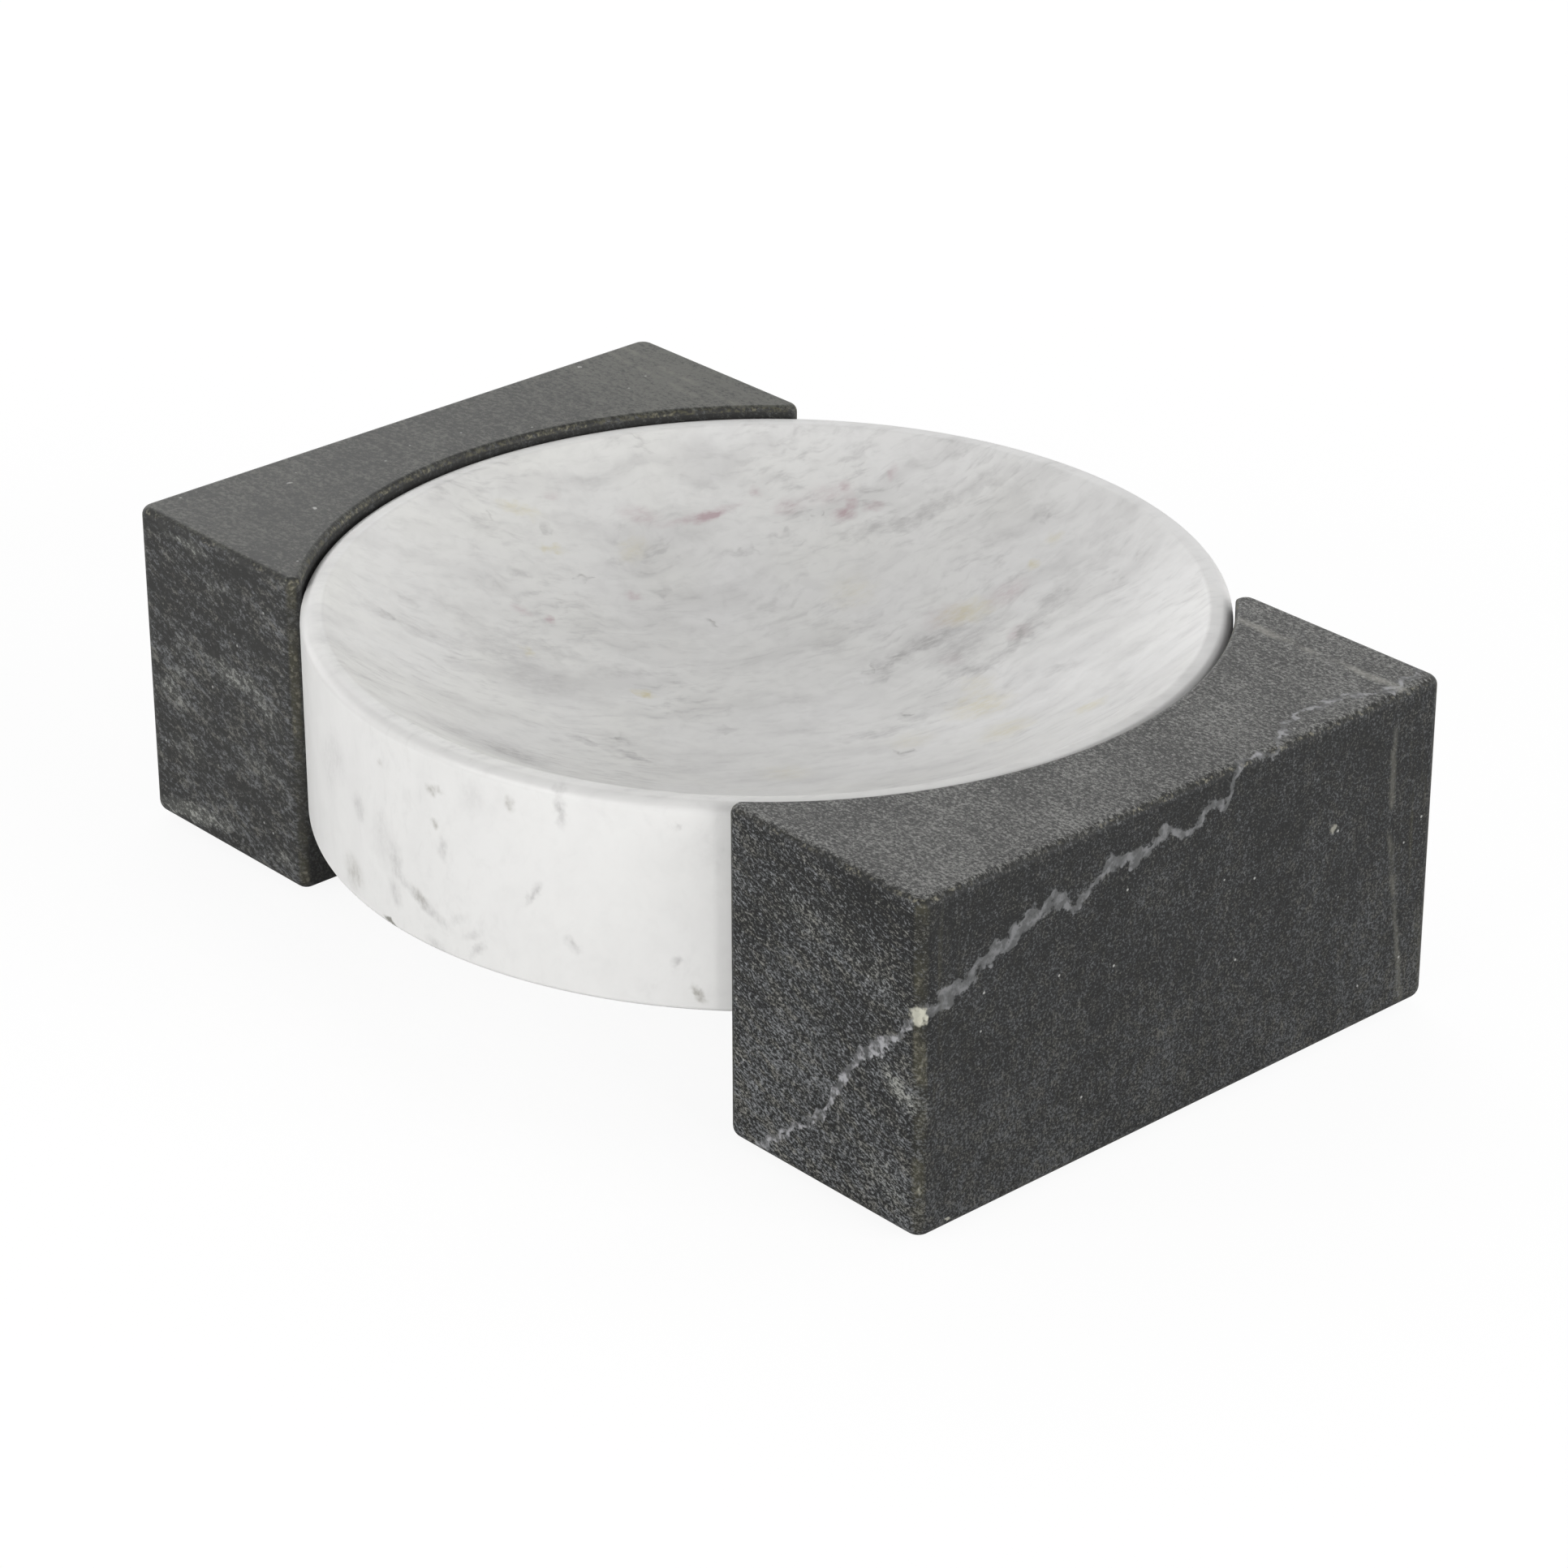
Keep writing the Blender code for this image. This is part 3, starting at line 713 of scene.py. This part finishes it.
def white_marks(stone, broken, colour):
    """The stains and spots that were placed one by one, each broken up by the grain."""
    ragged = stone.place
    for tint, rows in BOWL_MARKS:
        # Each tint wanders further than the last, which also spares the renderer's memory
        ragged = stone.wandered(ragged, 2.6, 1.1)
        share = stone.marks(ragged, bowl_placements(rows), (0.1, 1.3))
        colour = stone.blend((share * (0.78 + broken * 1.45)).limited(), colour, tint)
    frayed = stone.wandered(stone.place, 1.5, 1.0)
    for tint, rows in SIDE_MARKS:
        share = stone.marks(frayed, side_placements(rows), (0, 1.5))
        colour = stone.blend((share * (0.68 + broken * 1.25)).limited(), colour, tint)
    return colour


def white_streaks(stone):
    """Short wisps and wide smudges in upright layers, dense in places, faint at the side."""
    drift = stone.wandered(stone.wandered(stone.place, 45, 9), 8, 2)
    wisps = stone.noise(stone.turned(drift, LAYER, LAYER_ACROSS, WISP), 1, 3, 0.6)
    smudges = stone.noise(stone.turned(drift, LAYER, LAYER_ACROSS, SMUDGE, 7), 1, 2, 0.5)
    mottle = stone.noise(stone.wandered(stone.place, 7, 4), 5, 3, 0.6)
    dense = stone.noise(stone.place, 30, 1, 0.5).rise(0.4, 0.66)
    total = wisps.rise(0.46, 0.8) * (0.2 + dense * 0.34) + smudges.rise(0.42, 0.76) * 0.3
    return total + mottle.rise(0.4, 0.72) * 0.14


def bowl_placements(rows):
    """Marks that go down through the stone, from their place in plan and their turn."""
    for x, y, turn, length, width, strength in rows:
        yield (x, y, BOWL_MARK_LEVEL), (0, 0, turn), (length, width, BOWL_MARK_DEPTH), strength


def side_placements(rows):
    """Marks on the dish's side, by their bearing round it, their height and their tilt."""
    for bearing, z, tilt, length, width, strength in rows:
        angle = radians(bearing)
        outer = dish_radius / MM
        place = (outer * sin(angle), -outer * cos(angle), z)
        yield place, (0, -tilt, bearing), (width, SIDE_MARK_DEPTH, length), strength


def black_marble(side):
    """Charcoal stone, full of small pale flecks that lie along its grain."""
    stone = Finish("black_marble_" + side)
    lying = stone.faces()
    flecks, colour = black_ground(stone, lying, side)
    veins = {"left": left_veins, "right": right_veins}[side]
    colour = veins(stone, lying, flecks, colour)
    colour, worn = black_arrises(stone, lying, colour, side)
    pits = stone.noise(stone.place, 0.5, 2, 0.7)
    roughness = 0.56 - lying["top"] * 0.06 - flecks * 0.06 + worn * 0.05
    return stone.coat(colour, roughness, pits + flecks * 0.4, 0.012, 0.22)


def black_ground(stone, lying, side):
    """The flecks on their dark ground: fewer across the grain, partly as painted shade; more low
    down as painted light; a painted sheen on the top.
    """
    looks = BLOCK_LOOKS[side]
    fine = stone.noise(stone.stretched(GRAIN, ACROSS_BLOCK, looks["fleck_lengths"]), 1, 3, 0.85)
    bands = stone.noise(stone.stretched(GRAIN, ACROSS_BLOCK, CLOUDY_BAND, 3), 1, 3, 0.6)
    clouds = stone.noise(stone.place, 16, 2, 0.5)
    facing = abs(stone.along(stone.normal, GRAIN))
    amount = fine + (bands - 0.5) * looks["banding"] + (clouds - 0.5) * 0.12
    # Painted light: the flecks grow denser below the middle height, standing in for light bounced
    # up from the floor
    height = stone.along(stone.place, UP)
    painted_bounce = (BLOCK_MIDDLE_HEIGHT - height) * looks["bounce_light_below"]
    # Partly painted shade: flecks fade on faces cut across the grain, partly the grain seen end
    # on and partly shade painted on the outer faces
    flecks = (amount + painted_bounce).rise(0.46, 0.69) * (1 - facing * 0.67)
    flecks = (flecks * looks["fleck_strength"]).limited()

    hue = stone.noise(stone.stretched(GRAIN, ACROSS_BLOCK, HUE_PATCH, 11), 1, 2, 0.6)
    pale = stone.blend(hue.rise(0.45, 0.62), FLECK_BLUE, FLECK_OLIVE)
    colour = stone.blend(flecks, looks["ground"], pale)
    # Painted sheen: the tops are painted paler, more so towards the back of the left block, for
    # the white room reflected in them
    towards_back = stone.along(stone.place, ACROSS_BLOCK).rise(*BLOCK_BACK)
    top_sheen = (amount + towards_back * looks["sheen_paler_to_back"]).rise(0.42, 0.68)
    colour = stone.blend(lying["top"], colour,
                         stone.blend(top_sheen, looks["top_sheen_dark"], looks["top_sheen_pale"]))
    specks = stone.cells(stone.place, 7).fall(0.03, 0.055)
    return flecks, stone.blend(specks * 0.6, colour, SPECK)


def black_arrises(stone, lying, colour, side):
    """The eased edges: a thin line of painted shade, olive lines partly of grains and partly
    painted highlight, and cream grains where they chipped.
    """
    looks = BLOCK_LOOKS[side]
    grains = stone.noise(stone.place, 1.1, 3, 0.65)
    patches = stone.noise(stone.place, 9, 1, 0.5).rise(0.42, 0.62)
    # Painted shade: a thin dark line along the level edges, where the rounding turns away from
    # the bright room
    colour = stone.blend(lying["level_edge"] * (0.2 + patches * 0.3), colour, PAINTED_EDGE_SHADE)
    # Partly painted highlight: the upright edges are painted olive in patches, partly the stone's
    # olive grains and partly a lit rounded edge
    colour = stone.blend(lying["upright_edge"] * (0.1 + patches * 0.3), colour, EDGE_OLIVE)
    # Partly painted highlight: the seat's mouth is painted olive in grains, partly the stone's
    # own olive grains and partly a lit rounded edge
    olive = grains.rise(0.42, 0.62) * looks["mouth_olive_and_highlight"]
    # Painted shade: the seat's rounded mouth, next to the dish, is painted darker where it turns
    # down into the gap
    colour = stone.blend(lying["seat_edge"] * looks["mouth_painted_shade"], colour, PAINTED_EDGE_SHADE)
    colour = stone.blend(lying["seat_edge"] * olive, colour, EDGE_OLIVE)
    edge = lying["level_edge"] + lying["upright_edge"] * 0.55
    edge = edge + lying["seat_edge"] * looks["mouth_chips"]
    chipped = edge.limited() * grains.rise(0.52, 0.66) * (0.14 + patches * 0.86)
    return stone.blend(chipped * 0.66, colour, EDGE_CREAM), chipped


def left_veins(stone, lying, flecks, colour):
    """Cloudy pale bands down the left block's end, and faint lines across its top."""
    ragged = stone.wandered(stone.place, 2.2, 3.0)
    cloud = stone.marks(ragged, block_placements(LEFT_BANDS, BAND_DEPTH), (0.2, 1.3))
    colour = stone.blend((cloud * (0.16 + flecks * 1.7)).limited(), colour, BAND_PALE)
    x, y, _ = stone.parts(stone.place)
    fall = (x - LEFT_LINES_START) * LEFT_LINES_FALL
    for place, strength in LEFT_LINES:
        line = line_share(stone, y - place + fall, 0.9, 7)
        colour = stone.blend(line * lying["top"] * strength, colour, LINE_PALE)
    dots = stone.marks(stone.wandered(stone.place, 1, 0.6),
                       block_placements(LEFT_DOTS, LEFT_DOT_DEPTH), (0.5, 1.1))
    return stone.blend(dots, colour, SPECK)


def right_veins(stone, lying, flecks, colour):
    """The long crooked grey vein round the right block, its thin lines, bands and crystals."""
    colour = crooked_vein(stone, lying, colour)
    _, y, z = stone.parts(stone.place)
    top_line = line_share(stone, y - RIGHT_TOP_LINE, 1.2, 9) * lying["top"]
    colour = stone.blend(top_line * 0.5, colour, LINE_PALE_TOP)
    bend = (RIGHT_LINE_BEND_BELOW - z).or_more(0) * RIGHT_LINE_BEND
    outer_line = line_share(stone, y - RIGHT_OUTER_LINE - bend, 0.9, 9) * lying["outer"]
    colour = stone.blend(outer_line * 0.25, colour, LINE_PALE)

    stripes = stone.noise(stone.stretched(UP, ACROSS_BLOCK, OLIVE_STRIPE, 5), 1, 2, 0.5)
    stripes = stripes.rise(0.5, 0.75) * (y.rise(60, 67) + y.fall(-73, -60)) * lying["outer"]
    colour = stone.blend(stripes * 0.22, colour, EDGE_OLIVE)
    cloud = stone.marks(stone.wandered(stone.place, 2, 2.4),
                        block_placements(RIGHT_BANDS, BAND_DEPTH), (0.2, 1.3))
    colour = stone.blend((cloud * (0.03 + flecks * 1.7)).limited(), colour, BAND_PALE)
    dots = stone.marks(stone.wandered(stone.place, 1, 1),
                       block_placements(RIGHT_DOTS, RIGHT_DOT_DEPTH), (0.6, 1.1))
    return stone.blend(dots.limited(), colour, CRYSTAL)


def crooked_vein(stone, lying, colour):
    """A grey vein that leaves its plane to and fro, with crystals painted paler on the end and
    top as painted light.
    """
    x, y, z = stone.parts(stone.place)
    above = z - x * VEIN_CLIMB_BY_X - y * VEIN_CLIMB_BY_Y - VEIN_LEVEL
    above = above - x.curve(VEIN_SHIFT_BY_X) - y.curve(VEIN_SHIFT_BY_Y)
    jogs = (stone.noise(stone.place, 3.4, 1, 0.5) - 0.5) * 6.5
    ragged = (stone.noise(stone.place, 1.2, 2, 0.6) - 0.5) * 3.6
    width = x.curve(VEIN_WIDTH_BY_X) * y.curve(VEIN_WIDTH_BY_Y)
    vein = (abs(above + jogs + ragged) - width).fall(-0.5, 0.4)
    crystals = stone.noise(stone.place, 2.4, 3, 0.6).rise(0.42, 0.62)
    # Painted light: the vein's crystals are painted paler on the end and top faces than on the
    # outer face
    painted_crystal_light = (crystals * (0.18 + (lying["end"] + lying["top"]) * 0.64)).limited()
    own = stone.blend(painted_crystal_light, VEIN_GREY, VEIN_PALE)
    return stone.blend(vein * (0.72 + crystals * 0.26), colour, own)


def line_share(stone, distance, width, break_length):
    """A soft pale line in the stone, which wavers and comes and goes."""
    waver = (stone.noise(stone.place, 5, 3, 0.6) - 0.5) * 2.2
    gaps = stone.noise(stone.place, break_length, 2, 0.5).rise(0.36, 0.6)
    return abs(distance + waver).fall(width * 0.1, width * 1.5) * gaps


def block_placements(rows, depth):
    """Marks on the blocks, from their place, how far they slope down and their size."""
    for x, y, z, down, length, width, strength in rows:
        yield (x, y, z), (0, down, 0), (length, depth, width), strength


def cured_resin():
    """Bedding resin, filled with stone dust."""
    resin = Finish("cured_resin")
    dust = resin.noise(resin.place, 0.8, 3, 0.7)
    tint = resin.blend(dust.rise(0.4, 0.7), RESIN_PALE, RESIN_DARK)
    return resin.coat(tint, 0.45 + dust * 0.2, dust, 0.03)


def foot_rubber():
    """Soft black rubber with a fine matt skin and a little dust on it."""
    rubber = Finish("foot_rubber")
    skin = rubber.noise(rubber.place, 0.25, 2, 0.6)
    dust = rubber.noise(rubber.place, 3, 3, 0.6).rise(0.5, 0.8)
    tint = rubber.blend(dust * 0.3, RUBBER_BLACK, RUBBER_DUSTY)
    return rubber.coat(tint, 0.7 + dust * 0.15, skin, 0.02, 0.4)


def wear(piece, material):
    piece.data.materials.clear()
    piece.data.materials.append(material)


# Stage

def aimed(azimuth, elevation, distance, roll=0):
    """The place of a camera or lamp that looks at the tray from a direction and a distance."""
    turn = (Matrix.Rotation(azimuth, 4, 'Z')
            @ Matrix.Rotation(QUARTER_TURN - elevation, 4, 'X')
            @ Matrix.Rotation(roll, 4, 'Z'))
    return Matrix.Translation(VIEW_CENTRE) @ turn @ Matrix.Translation((0, 0, distance))


def add_camera():
    data = bpy.data.cameras.new("camera")
    data.lens = FOCAL_PIXELS / PICTURE_SIDE * data.sensor_width
    data.clip_end = CLIP_END
    camera = bpy.data.objects.new("camera", data)
    camera.matrix_world = aimed(VIEW_AZIMUTH, VIEW_ELEVATION, VIEW_DISTANCE, VIEW_ROLL)
    bpy.context.scene.collection.objects.link(camera)
    bpy.context.scene.camera = camera


def add_softbox(name, azimuth, elevation, power):
    data = bpy.data.lights.new(name, 'AREA')
    data.shape = 'SQUARE'
    data.size = SOFTBOX_SIDE
    data.energy = power
    lamp = bpy.data.objects.new(name, data)
    lamp.visible_camera = False
    lamp.matrix_world = aimed(radians(azimuth), radians(elevation), SOFTBOX_DISTANCE)
    bpy.context.scene.collection.objects.link(lamp)


def floor_paper():
    """White paper, which the camera sees nearly as bright as the background."""
    material = bpy.data.materials.new("floor_paper")
    paper = Nodes(material)
    paper.tree.nodes.remove(paper.tree.nodes["Principled BSDF"])
    seen = paper.add("LightPath", {}, [], "Is Camera Ray")
    matt = paper.add("BsdfDiffuse", {}, {"Color": (*FLOOR_PAPER, 1)})
    glow = paper.add("Emission", {}, {"Strength": FLOOR_GLOW})
    surface = paper.add("MixShader", {}, [seen * FLOOR_GLOW_SHARE, matt, glow])
    paper.feed(paper.tree.nodes["Material Output"].inputs["Surface"], surface)
    return material


def add_floor():
    bpy.ops.object.select_all(action='DESELECT')
    bpy.ops.mesh.primitive_plane_add(size=FLOOR_SIDE)
    floor = bpy.context.object
    floor.name = "floor"
    floor.data.materials.append(floor_paper())


def add_world():
    """A room that looks white, in the picture and in reflections, but lights only a little."""
    world = bpy.data.worlds.new("studio")
    room = Nodes(world)
    seen = room.add("LightPath", {}, [], "Is Camera Ray")
    reflected = room.add("LightPath", {}, [], "Is Glossy Ray")
    strength = seen.or_more(reflected) * (1 - ROOM_LIGHT) + ROOM_LIGHT
    background = room.tree.nodes["Background"]
    room.feed(background.inputs["Strength"], strength)
    background.inputs["Color"].default_value = (1, 1, 1, 1)
    bpy.context.scene.world = world


# Scene

add_camera()
add_world()
add_floor()
for name, azimuth, elevation, power in SOFTBOXES:
    add_softbox("softbox_" + name, azimuth, elevation, power)

dish = model_dish()
wear(dish, white_marble())
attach(dish, "root")
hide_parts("dish")

for side in ("left", "right"):
    block = model_block("marble_block_" + side, "block_" + side)
    wear(block, black_marble(side))
    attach(block, "root")
    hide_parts("block_" + side)

resin = cured_resin()
rubber = foot_rubber()
for name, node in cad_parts.items():
    if name.startswith("resin_bed"):
        wear(node, resin)
    elif name.startswith("foot"):
        wear(node, rubber)

bpy.context.scene.view_settings.view_transform = 'Standard'
